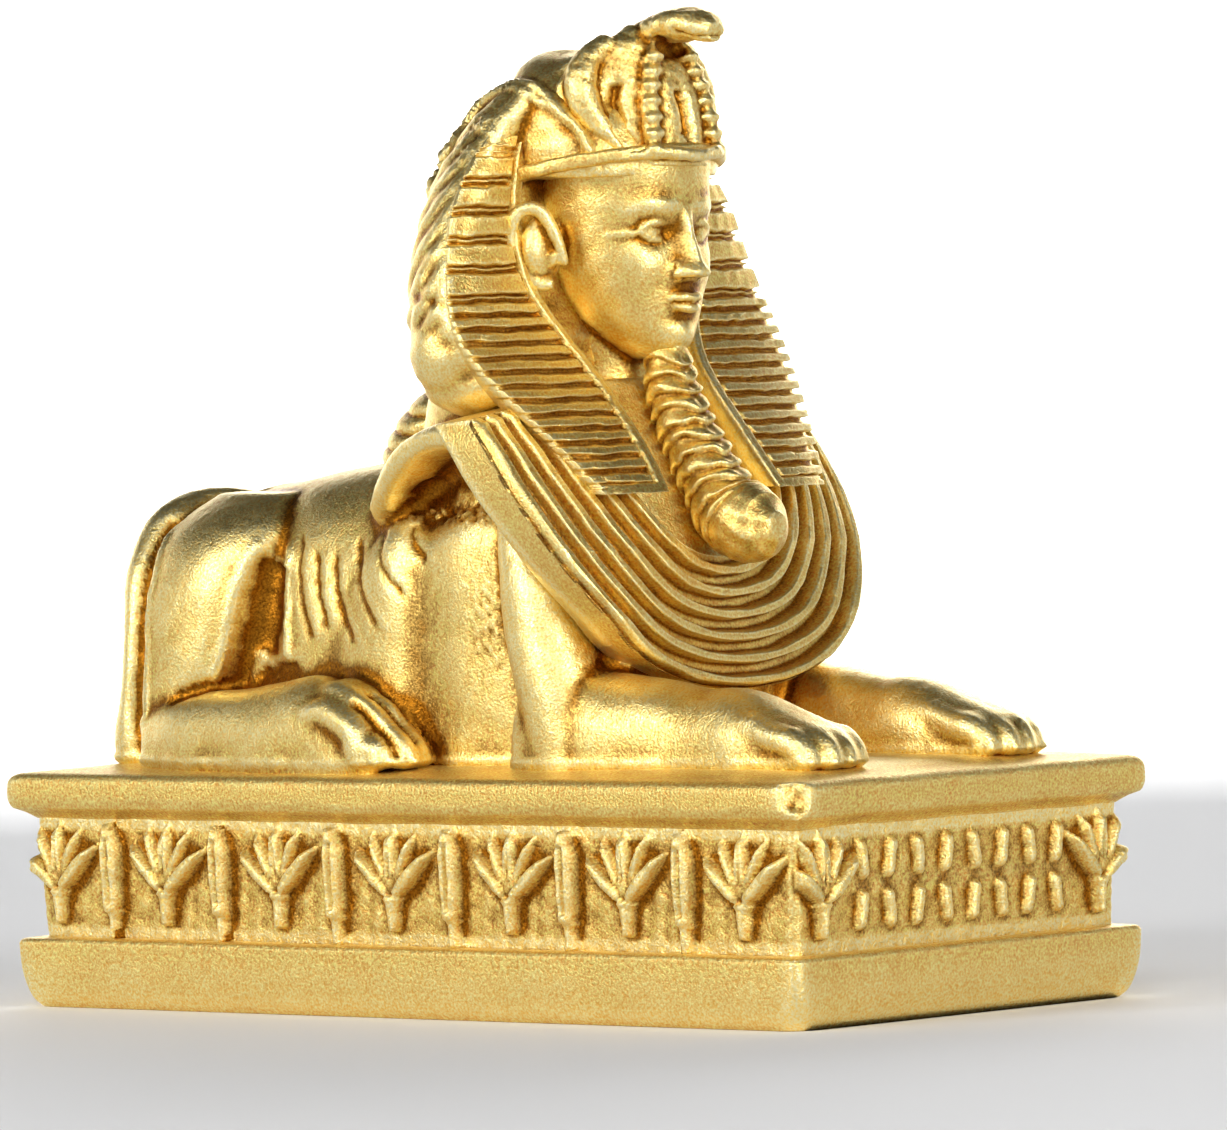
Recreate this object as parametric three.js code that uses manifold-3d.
// Reclining sphinx in a royal headdress on a moulded plinth, cast in one piece and painted gold.
// Millimetres, +Z up. The face looks toward -Y and the origin is the centre of the underside.
import * as THREE from 'three';
import { ParametricGeometry } from 'three/addons/geometries/ParametricGeometry.js';
import { mergeVertices } from 'three/addons/utils/BufferGeometryUtils.js';
import Module from 'manifold-3d';

// Plinth
const WIDTH = 35;               // across
const LENGTH = 70;              // along
const SLAB_TOP = 4.64;          // top of the lower slab
const WALL_FOOT_INSET = 1.6;    // relief band behind the cornice edge, at the slab
const WALL_HEAD_INSET = 1.15;   // and under the cornice
const WALL_HEAD = 12.3;         // where the hollow under the cornice starts
const CORNICE_TOP = 15.6;
const DECK = 16.3;              // crown of the slightly domed deck
// Relief band
const BOUQUETS = [31.2, 21.3, 10.9, 0.7, -9.6, -19.6, -29.4];
const BUDS = [26.2, 16.2, 5.8, -4.5, -14.6, -24.5];
const END_BOUQUETS = 13.6;      // half spacing of the bouquets on the short sides
const TIE_HEIGHT = 7.8;         // where a bouquet's leaves spring from
// Collar and headdress
const RIDGES = 6;               // raised rings of the collar
const RIDGE_HEIGHT = 0.6;
const COLLAR_DEPTH = 2.6;       // front to back at the shoulder
const RUNG_HEIGHT = 0.5;        // stripes of the headdress
const PLEAT_DEPTH = 0.45;       // flutes at the back of the headdress

const TAU = 2 * Math.PI;
const X = new THREE.Vector3(1, 0, 0);
const Z = new THREE.Vector3(0, 0, 1);
const wasm = await Module();
wasm.setup();

// The row of numbers at t on a smooth curve through all the rows, from 0 to 1.
function through(rows, t) {
  const s = Math.min(Math.max(t, 0), 1) * (rows.length - 1);
  const i = Math.min(Math.floor(s), rows.length - 2);
  const f = s - i;
  const row = k => rows[Math.min(Math.max(k, 0), rows.length - 1)];
  const [a, b, c, d] = [row(i - 1), row(i), row(i + 1), row(i + 2)];
  return b.map((p, k) => p + 0.5 * f * (c[k] - a[k]
    + f * (2 * a[k] - 5 * p + 4 * c[k] - d[k] + f * (3 * (p - c[k]) + d[k] - a[k]))));
}

// The value at `x` of a line through [x, value] pairs in rising order.
function along(pairs, x) {
  const last = pairs.length - 1;
  if (x <= pairs[0][0]) return pairs[0][1];
  if (x >= pairs[last][0]) return pairs[last][1];
  const i = pairs.findIndex(p => p[0] > x);
  const [a, b] = [pairs[i - 1], pairs[i]];
  return a[1] + (b[1] - a[1]) * (x - a[0]) / (b[0] - a[0]);
}

// Superellipse coordinate: n = 2 is round, and larger n is squarer.
const bow = (c, n) => Math.sign(c) * Math.abs(c) ** (2 / n);

// Closed body from rings: at(t, a) is the point at angle a of the ring at t, and
// each end closes at the middle of its ring.
function loft(at, around, stations) {
  const middle = t => {
    const sum = new THREE.Vector3();
    for (let j = 0; j < around; j++) sum.add(at(t, j / around * TAU));
    return sum.divideScalar(around);
  };
  const surface = (u, v, out) => {
    const j = Math.round(u * around) % around;
    const i = Math.round(v * (stations + 2)) - 1;
    if (i < 0 || i > stations) out.copy(middle(i < 0 ? 0 : 1));
    else out.copy(at(i / stations, j / around * TAU));
  };
  return new ParametricGeometry(surface, around, stations + 2);
}

// Body of superellipse sections square to Y or Z. A row is the place along the axis,
// the section's centre, its two half sizes, its squareness and the depth of the toe grooves.
function trunk(axis, rows, around, stations, ripple = 0) {
  const full = rows.map(row => [...row, 0].slice(0, 7));
  return loft((t, a) => {
    const [s, p, q, hp, hq, n, toe] = through(full, t);
    const grow = ripple * (Math.round(t * stations) % 2 ? 1 : -1);
    const groove = Math.sin(a) > 0 ? toe * (1 - Math.abs(Math.sin(4 * a))) : 0;
    const u = p + (hp + grow) * bow(Math.cos(a), n);
    const v = q + (hq + grow) * bow(Math.sin(a), n) - groove;
    return axis === 'y' ? new THREE.Vector3(u, s, v) : new THREE.Vector3(u, v, s);
  }, around, stations);
}

// Round bar along a smooth path: rows of [x, y, z, radius].
function bar(rows, around, stations) {
  return loft((t, a) => {
    const [x, y, z, r] = through(rows, t);
    const ahead = new THREE.Vector3(...through(rows, Math.min(t + 0.01, 1)));
    const back = new THREE.Vector3(...through(rows, Math.max(t - 0.01, 0)));
    const way = ahead.sub(back).normalize();
    const side = X.clone().addScaledVector(way, -X.dot(way)).normalize();
    const rise = way.clone().cross(side);
    return new THREE.Vector3(x, y, z)
      .addScaledVector(side, r * Math.cos(a)).addScaledVector(rise, r * Math.sin(a));
  }, around, stations);
}

// Stretched ball.
function ball(x, y, z, rx, ry, rz, wide = 8, high = 4) {
  return new THREE.SphereGeometry(1, wide, high).scale(rx, ry, rz).translate(x, y, z);
}

// three.js geometry as a solid with merged corners and its faces turned outward.
function solid(geometry) {
  const bare = geometry.clone();
  bare.deleteAttribute('normal');
  bare.deleteAttribute('uv');
  const merged = mergeVertices(bare, 1e-4);
  const p = merged.attributes.position.array;
  const index = merged.index.array;
  const faces = [];
  const [a, b, c] = [new THREE.Vector3(), new THREE.Vector3(), new THREE.Vector3()];
  let volume = 0;
  for (let f = 0; f < index.length; f += 3) {
    const [i, j, k] = index.slice(f, f + 3);
    if (i === j || j === k || k === i) continue;
    faces.push(i, j, k);
    volume += a.fromArray(p, 3 * i).dot(b.fromArray(p, 3 * j).cross(c.fromArray(p, 3 * k)));
  }
  if (volume < 0) faces.reverse();
  return new wasm.Manifold(new wasm.Mesh({
    numProp: 3, vertProperties: new Float32Array(p), triVerts: new Uint32Array(faces),
  }));
}

const joined = geometries => geometries.map(solid).reduce((sum, next) => sum.add(next));
const bothSides = geometry => [geometry, geometry.clone().scale(-1, 1, 1)];

// ---- Plinth: rows of [height, inset across, inset along, corner radius]
const PLINTH = [
  [0, 1.2, 1.4, 0.9], [0.8, 0.65, 0.85, 1], [2.4, 0.3, 0.5, 0.8], [SLAB_TOP - 0.3, 0.25, 0.45, 0.7],
  [SLAB_TOP, 0.5, 0.7, 0.7], [SLAB_TOP + 0.15, WALL_FOOT_INSET, WALL_FOOT_INSET, 0.5],
  [WALL_HEAD, WALL_HEAD_INSET, WALL_HEAD_INSET, 0.5], [12.9, 0.95, 0.95, 0.5], [13.25, 0.45, 0.45, 0.5],
  [13.4, 0.12, 0.12, 0.5], [13.8, 0, 0, 0.5], [CORNICE_TOP - 0.5, 0, 0, 0.5],
  [CORNICE_TOP - 0.12, 0.15, 0.15, 0.5], [CORNICE_TOP, 0.5, 0.5, 0.7], [DECK - 0.45, 2.8, 2.8, 2],
  [DECK, 8, 8, 4],
];
const CORNER_STEPS = 2;
const plinth = loft((t, a) => {
  const [z, across, length, r] = PLINTH[Math.round(t * (PLINTH.length - 1))];
  const j = Math.round(a / TAU * 4 * (CORNER_STEPS + 1));
  const corner = Math.floor(j / (CORNER_STEPS + 1)) % 4;
  const turn = (corner + (j % (CORNER_STEPS + 1)) / CORNER_STEPS) * TAU / 4;
  const right = corner === 0 || corner === 3 ? 1 : -1;
  const ahead = corner < 2 ? 1 : -1;
  return new THREE.Vector3(
    right * (WIDTH / 2 - across - r) + r * Math.cos(turn),
    ahead * (LENGTH / 2 - length - r) + r * Math.sin(turn), z);
}, 4 * (CORNER_STEPS + 1), PLINTH.length - 1);
const chip = new THREE.IcosahedronGeometry(1.25, 0).scale(1, 0.8, 1.35).rotateX(0.5)
  .translate(-WIDTH / 2 - 0.15, -LENGTH / 2 - 0.1, CORNICE_TOP - 0.4);

// ---- Relief band, drawn flat with X along the wall, Y up and Z outward
const leaf = (halfWidth, length, stand) => new THREE.OctahedronGeometry(1, 0)
  .scale(halfWidth, length / 2, stand).translate(0, length / 2, 0);
// Open leaves fanned from a tie, over a short stem. A fan row is lean, length and half width.
const FULL_FAN = [[0, 5.2, 0.8], [28, 4.9, 0.75], [58, 4, 0.7]];
const NARROW_FAN = [[0, 5.2, 0.8], [18, 4.9, 0.7], [38, 4.2, 0.6]];
const PLAIN_FAN = [[0, 5.2, 0.85], [42, 4.5, 0.8]];
function bouquet(x, fan = FULL_FAN) {
  const leaves = fan.flatMap(([lean, length, halfWidth]) => (lean ? [lean, -lean] : [0]).map(angle =>
    leaf(halfWidth, length, 0.85).rotateZ(THREE.MathUtils.degToRad(angle)).translate(x, TIE_HEIGHT, 0)));
  return [...leaves, leaf(1, 3, 0.85).translate(x, TIE_HEIGHT - 2.1, 0)];
}
// One closed bud on a small foot.
const bud = x => [leaf(0.85, 6.6, 0.8).translate(x, 6, 0), leaf(0.75, 1.6, 0.6).translate(x, 5.2, 0)];
// Two rows of short plain strokes.
const STROKE = { high: 2.3, wide: 0.65, stand: 0.45, pitch: 2.7, rows: [7.3, 10.4], count: 8 };
const strokes = STROKE.rows.flatMap((row, r) => Array.from({ length: STROKE.count }, (_, i) =>
  new THREE.BoxGeometry(STROKE.wide, STROKE.high, 2 * STROKE.stand)
    .rotateZ((i + r) % 2 ? 0.16 : -0.1)
    .translate((i - (STROKE.count - 1) / 2) * STROKE.pitch, row, 0)));

// Carry flat relief to the wall whose outward direction is `out`.
function onWall(pieces, out, half) {
  const rise = (WALL_FOOT_INSET - WALL_HEAD_INSET) / (WALL_HEAD - SLAB_TOP);
  const turn = new THREE.Matrix4().makeBasis(Z.clone().cross(out), Z, out);
  turn.setPosition(out.clone().multiplyScalar(half - WALL_FOOT_INSET - rise * SLAB_TOP));
  return pieces.map(piece => {
    const lean = new THREE.Matrix4().makeShear(0, 0, 0, rise, 0, 0);
    return piece.clone().applyMatrix4(lean).applyMatrix4(turn);
  });
}
const longSide = [...BOUQUETS.map(y => bouquet(-y)), ...BUDS.map(y => bud(-y))].flat();
const relief = [
  ...onWall(longSide, X.clone().negate(), WIDTH / 2),
  ...onWall(BOUQUETS.flatMap(y => bouquet(y, PLAIN_FAN)), X, WIDTH / 2),
  ...onWall([...bouquet(-END_BOUQUETS, NARROW_FAN), ...bouquet(END_BOUQUETS, NARROW_FAN), ...strokes],
    new THREE.Vector3(0, -1, 0), LENGTH / 2),
  ...onWall([-10.4, 0, 10.4].flatMap(x => bouquet(x, PLAIN_FAN)), new THREE.Vector3(0, 1, 0), LENGTH / 2),
];

// ---- Body
const torso = trunk('y', [
  [-13.4, 0, 20, 8.6, 8.2, 3], [-9, 0, 20, 10.2, 13.4, 2.8], [-4, 0, 20, 10.9, 16.4, 2.8],
  [1, 0, 20, 11.2, 16.9, 2.7], [6, 0, 20, 11.3, 16.5, 2.6], [11, 0, 20, 11.2, 16.1, 2.5],
  [15, 0, 20, 10.6, 15.7, 2.4], [18, 0, 20, 10.2, 14.9, 2.4], [22, 0, 20, 10.8, 14.5, 2.4],
  [26, 0, 20, 10.4, 14.1, 2.4], [28.6, 0, 20, 8.7, 13, 2.4], [30.6, 0, 20, 5.6, 10.6, 2.4],
], 16, 10);
const haunch = trunk('z', [
  [15.2, -8.3, 22.6, 5.3, 5.1, 2.3], [20, -8.3, 22.6, 5.4, 5, 2.3], [24, -8.1, 22.5, 5.4, 5.7, 2.3],
  [28, -7.7, 22, 5.4, 6.5, 2.3], [31.5, -6.9, 21.3, 4.9, 6.4, 2.2], [33.8, -5.6, 20.6, 3.4, 4.6, 2],
], 12, 5);
const hindFoot = trunk('y', [
  [23, -11.6, 17, 2.5, 3.4, 2.6], [17.2, -12.1, 17, 3, 4.1, 2.6], [13, -12.4, 17, 3.2, 4.5, 2.5],
  [9.3, -12.6, 17, 3.3, 5.5, 2.4, 0.2], [7, -12.8, 17, 3.3, 4.5, 2.4, 0.5],
  [2.6, -12.9, 16.8, 3.2, 2.8, 2.4, 0.7], [-0.2, -12.9, 16.2, 2.6, 1.3, 2.4, 0.5],
], 16, 7);
const upperArm = trunk('z', [
  [33, -10.4, -6, 1.9, 1.5, 2.2], [29, -10.8, -7.5, 2.4, 2.3, 2.3], [26.3, -10.7, -8.3, 2.7, 2.6, 2.4],
  [22.5, -10.3, -9.3, 3.2, 2.9, 2.5], [19, -10.1, -10.2, 3.4, 3, 2.5], [15.4, -10, -11, 3.3, 3, 2.5],
], 10, 5);
const foreleg = trunk('y', [
  [-7, -10.1, 17, 3.1, 4.6, 2.6], [-9.5, -10, 17, 3.5, 5.5, 2.6], [-13, -9.7, 17, 3.6, 5.3, 2.5],
  [-17, -9.3, 17, 3.5, 4.8, 2.5], [-20, -9, 17, 3.4, 4.3, 2.5], [-22.6, -8.8, 17, 3.5, 4.3, 2.5, 0.2],
  [-25, -8.8, 17, 3.6, 3.8, 2.5, 0.5], [-28, -8.8, 17, 3.4, 2.7, 2.5, 0.6],
  [-30.6, -8.8, 17, 3.1, 2, 2.5, 0.6], [-31.8, -8.8, 16.8, 2.8, 1.7, 2.5, 0.5],
], 16, 9);
const tail = bar([
  [-2.6, 26.6, 32.7, 0.8], [-4.8, 28.3, 32.5, 1.15], [-7.7, 29, 30.5, 1.2], [-9.5, 28.6, 27.5, 1.05],
  [-10.2, 28.3, 24, 1.05], [-10.2, 28.4, 20.8, 1.2], [-9.9, 28.8, 18.2, 1.8], [-9.8, 29, 15.8, 1.7],
], 6, 10);

// ---- Collar: a thick leaning bib of raised rings
const MID_LINE = [[20.9, -16.1], [23.7, -15.4], [27, -14.7], [30, -14.2], [33, -13], [37, -11], [41, -8.3]];
const SIDE_FALL = [[20, -0.6], [25.6, -0.4], [29.6, 1.2], [33.3, 1.9], [36.4, 2.5], [38.3, 3.1]];
const bibFace = (x, z) => along(MID_LINE, z) + along(SIDE_FALL, z) * (x / 15) ** 2;
const mirrored = half => [...half.map(([x, z]) => [-x, z]), ...half.slice(0, -1).reverse()];
const OUTER = mirrored([[17.5, 38.4], [17.3, 36.5], [16.5, 33.3], [14.9, 29.5], [12, 25.5], [9.2, 22.8],
  [4.9, 21.2], [0, 20.7]]);
const INNER = mirrored([[9, 40], [8.2, 37.8], [6.8, 34.9], [5.2, 32.2], [3.8, 30.6], [2.6, 29.8],
  [1.3, 29.4], [0, 29.3]]);
const PROFILE = [[0, -COLLAR_DEPTH], [0, -0.1]];
for (let k = 0; k < RIDGES; k++) {
  PROFILE.push([(k + 0.14) / RIDGES, RIDGE_HEIGHT], [(k + 0.64) / RIDGES, RIDGE_HEIGHT], [(k + 0.9) / RIDGES, -0.1]);
}
PROFILE.push([1, -COLLAR_DEPTH - 1]);
const collar = loft((t, a) => {
  const [f, crest] = PROFILE[Math.round(a / TAU * PROFILE.length)];
  const stand = t === 0 || t === 1 ? Math.min(crest, -0.1) : crest;   // the ends are plain
  const [x0, z0] = through(OUTER, t);
  const [x1, z1] = through(INNER, t);
  const x = x0 + (x1 - x0) * f;
  const z = z0 + (z1 - z0) * f;
  const narrow = stand < -1 && f === 0 ? along([[20.9, 0.45], [27, 0.75], [33, 1]], z) : 1;
  return new THREE.Vector3(x, bibFace(x, z) - stand * narrow, z);
}, PROFILE.length, 13);
const chest = trunk('z', [
  [17, 0, -5, 8, 7.6, 3], [21, 0, -5, 8.4, 9, 3], [25, 0, -5, 9.4, 9.1, 3], [29, 0, -5, 10.2, 8.7, 2.8],
  [33, 0, -3, 9.8, 9.2, 2.6], [37, 0, -1.6, 9.9, 8.6, 2.5], [41, 0, -0.8, 9.6, 7.2, 2.3],
], 10, 4);
const shoulders = loft((t, a) => {
  const [y, z, half] = through([[-6.6, 37, 16.6], [-4.6, 37.3, 15.4], [-2.4, 37.2, 14], [0.4, 36, 13.2],
    [2.6, 34.3, 12.2], [4.6, 32, 11.2]], t);
  const [y2, z2] = through([[-6.6, 37, 0], [-4.6, 37.3, 0], [-2.4, 37.2, 0], [0.4, 36, 0],
    [2.6, 34.3, 0], [4.6, 32, 0]], Math.min(t + 0.05, 1));
  const slope = t > 0.95 ? Math.atan2(-2.3, 2) : Math.atan2(z2 - z, y2 - y);
  const thick = 1.15 * bow(Math.sin(a), 4);
  return new THREE.Vector3(half * bow(Math.cos(a), 6), y - Math.sin(slope) * thick, z + Math.cos(slope) * thick);
}, 8, 6);

// ---- Headdress
// Hood rows: height, half width, centre, depth behind and depth before the centre.
const HOOD = [
  [39.4, 10.6, -2.4, 7.2, 2.4], [41, 13.5, -3.1, 8.5, 2.8], [43.7, 14.8, -3.5, 9.1, 2.4],
  [46, 14.8, -3.4, 8.9, 1.6], [48.4, 14.2, -3.1, 8.5, 1.5], [51, 13.2, -2.8, 8, 1.5],
  [54, 11.6, -2.6, 7, 1.5], [56.6, 9.9, -2.8, 5.9, 1.6], [58.8, 8.3, -3.3, 4.8, 2],
  [60.6, 6.2, -4, 3.7, 2.4], [61.9, 4, -4.8, 2.4, 2.4], [62.5, 2, -5.2, 1.4, 1.6],
];
const FLUTES = 10;
const FRONT_STEPS = 6;
const hood = loft((t, a) => {
  const [z, half, middle, behind, before] = through(HOOD, t);
  const j = Math.round(a / TAU * (2 * FLUTES + FRONT_STEPS));
  const back = j <= 2 * FLUTES;
  const angle = back ? j / (2 * FLUTES) * Math.PI : Math.PI * (1 + (j - 2 * FLUTES) / FRONT_STEPS);
  const flute = back && j % 2 && z > 42.5 ? PLEAT_DEPTH * Math.min(1, (63 - z) / 8) : 0;
  const n = back ? 2 : 4;
  return new THREE.Vector3((half - flute) * bow(Math.cos(angle), n),
    middle + (back ? behind - flute : before) * bow(Math.sin(angle), n), z);
}, 2 * FLUTES + FRONT_STEPS, 8);
const cap = trunk('z', [
  [53, 0, -5.6, 7.2, 6.2, 2.3], [55, 0, -5.6, 7.6, 6.4, 2.3], [57.5, 0, -5.6, 7.5, 6, 2.2],
  [60, 0, -5.6, 6.3, 4.8, 2.1], [61.8, 0, -5.6, 4.2, 3.2, 2], [62.7, 0, -5.6, 2.4, 2, 2],
], 12, 5);
// Striped band from the temple to the end of the lappet: height, inner and outer edge, face.
const BAND = [
  [57, 6.8, 9.2, -3.9], [55, 7.6, 11.2, -4], [52, 8, 13.3, -4.2], [49, 8, 14.3, -4.6],
  [46.5, 7.3, 15, -5.2], [44, 6, 15.3, -6.3], [42, 5.2, 14.9, -7.6], [40, 4.9, 14, -9.2],
  [37.8, 4.9, 12.8, -11], [35.6, 5, 11.6, -12.7], [33.6, 5.3, 10.5, -14.1],
];
const RUNGS = 14;
const BORDER = 0.9;             // plain strip along the inner edge
const band = loft((t, a) => {
  const i = Math.round(t * 2 * RUNGS);
  // Coarse rungs beside the face, close-set ones down the lappet.
  const [z, inside, outside, face] = through(BAND, t ** 0.86);
  const raised = i % 2 ? RUNG_HEIGHT : 0;
  const back = face + along([[40, 3.4], [48, 1.8]], z);
  const corners = [
    [inside, face - RUNG_HEIGHT], [inside + BORDER, face - RUNG_HEIGHT - 0.05], [inside + BORDER + 0.15, face - raised],
    [outside, face + 0.5 - raised], [outside - 0.6, back], [inside, back],
  ];
  const [x, y] = corners[Math.round(a / TAU * corners.length)];
  return new THREE.Vector3(x, y, z);
}, 6, 2 * RUNGS);
const browBand = loft((t, a) => {
  const turn = THREE.MathUtils.degToRad(-185 + 190 * t);
  const lift = 54.4 + 1.1 * Math.sin(-turn);
  const out = 0.45 * bow(Math.cos(a), 4);
  return new THREE.Vector3((7.7 + out) * Math.cos(turn), -5.3 + (6.7 + out) * Math.sin(turn),
    lift + 0.45 * bow(Math.sin(a), 4));
}, 4, 10);
const queue = loft((t, a) => {
  const [z, y, half, deep] = through([[41, 5.5, 3.8, 3.4], [39.5, 7.3, 4.3, 3.9], [37.8, 8.9, 4.5, 4.2],
    [36, 9.8, 4.6, 4.3], [34.3, 9.7, 4.2, 3.8]], t);
  const j = Math.round(a / TAU * 16);
  const flute = j % 2 ? 0.35 : 0;
  return new THREE.Vector3((half - flute) * Math.cos(a), y + (deep - flute) * Math.sin(a), z);
}, 16, 3);

// ---- Head
const head = trunk('z', [
  [42.5, 0, -9, 1.5, 1.8, 2], [43.4, 0, -8.2, 2.9, 3, 2.1], [45.5, 0, -7.2, 4.3, 4.3, 2.2],
  [48.5, 0, -6.6, 5.1, 5.3, 2.2], [52, 0, -6.4, 5.5, 5.7, 2.2], [55.2, 0, -6.2, 5.5, 5.8, 2.2],
], 14, 6);
const neck = trunk('z', [[37, 0, -6, 4.4, 4, 2], [41, 0, -6, 3.7, 3.4, 2], [46, 0, -5.6, 3.9, 3.4, 2]], 8, 1);
const nose = trunk('z', [
  [51.4, 0, -11.9, 0.5, 0.5, 2], [49.8, 0, -12.2, 0.6, 0.8, 2], [48.4, 0, -12.6, 0.9, 1, 2],
  [47.7, 0, -12.3, 1.1, 0.8, 2],
], 6, 3);
const features = [
  nose, ...bothSides(ball(-2.1, -11.2, 50.3, 1.3, 0.75, 0.6)),
  ball(0, -11.7, 46.1, 1.45, 0.6, 0.35), ball(0, -11.5, 45.5, 1.15, 0.55, 0.35),
  ball(0, -10.6, 43.9, 1.3, 1, 1), ...bothSides(ball(-6.2, -5.3, 49.6, 1, 1.6, 2.6)),
];
const beard = trunk('z', [
  [43, 0, -9.8, 1.3, 1.2, 2], [41, 0, -10, 1.6, 1.5, 2.2], [38.5, 0, -11.1, 1.8, 1.7, 2.2],
  [36, 0, -12.5, 2, 1.9, 2.2], [33.6, 0, -14.2, 2.2, 2.1, 2.2],
], 8, 10, 0.14);
const beardTip = trunk('y', [
  [-13.6, 0, 32.4, 2.1, 2, 2], [-15.2, 0, 31.8, 2.6, 2.5, 2], [-17.2, 0, 31.3, 2.4, 2.2, 2],
  [-18.6, 0, 31.2, 1.6, 1.4, 2], [-19.1, 0, 31.2, 0.7, 0.6, 2],
], 8, 4);

// ---- Cobra on the brow
const cobraHood = trunk('z', [
  [54.8, 0, -10.6, 4.2, 1.6, 2.3], [57, 0, -9.8, 5.3, 1.5, 2.3], [59.4, 0, -9.2, 6, 1.5, 2.2],
  [61.4, 0, -8.7, 5.2, 1.4, 2.1], [63, 0, -8.6, 3.4, 1.2, 2], [64, 0, -8.8, 1.6, 0.9, 2],
], 10, 5);
const cobraHead = trunk('y', [
  [-8, 0, 62.6, 1.5, 0.9, 2], [-9.8, 0, 63.2, 1.8, 1.1, 2], [-12.2, 0, 63.85, 2, 1.15, 2.2],
  [-14.2, 0, 63.7, 1.7, 1.05, 2.2], [-15.2, 0, 63.3, 0.9, 0.7, 2],
], 8, 5);
const cobraColumn = trunk('z', [
  [55.4, -2.4, -11.6, 0.8, 0.7, 2], [58, -2.3, -10.8, 0.85, 0.7, 2], [61, -1.6, -9.8, 0.8, 0.7, 2],
], 5, 6, 0.12);

const figure = joined([
  torso, ...bothSides(haunch), ...bothSides(hindFoot), ...bothSides(upperArm), ...bothSides(foreleg), tail,
  collar, chest, shoulders, hood, cap, ...bothSides(band), browBand, queue, head, neck, ...features,
  beard, beardTip, cobraHood, cobraHead, ...bothSides(cobraColumn),
]);
const casting = joined([plinth, ...relief]).add(figure).subtract(solid(chip));

const shape = casting.getMesh();
const geometry = new THREE.BufferGeometry();
geometry.setAttribute('position', new THREE.BufferAttribute(shape.vertProperties, 3));
geometry.setIndex(new THREE.BufferAttribute(shape.triVerts, 1));
geometry.computeVertexNormals();

const gold = new THREE.MeshStandardMaterial({ color: 0xd9a637, roughness: 0.36, metalness: 0.9 });
const statue = new THREE.Mesh(geometry, gold);
statue.name = 'sphinx_statue';

const root = new THREE.Group();
root.add(statue);
export default root;
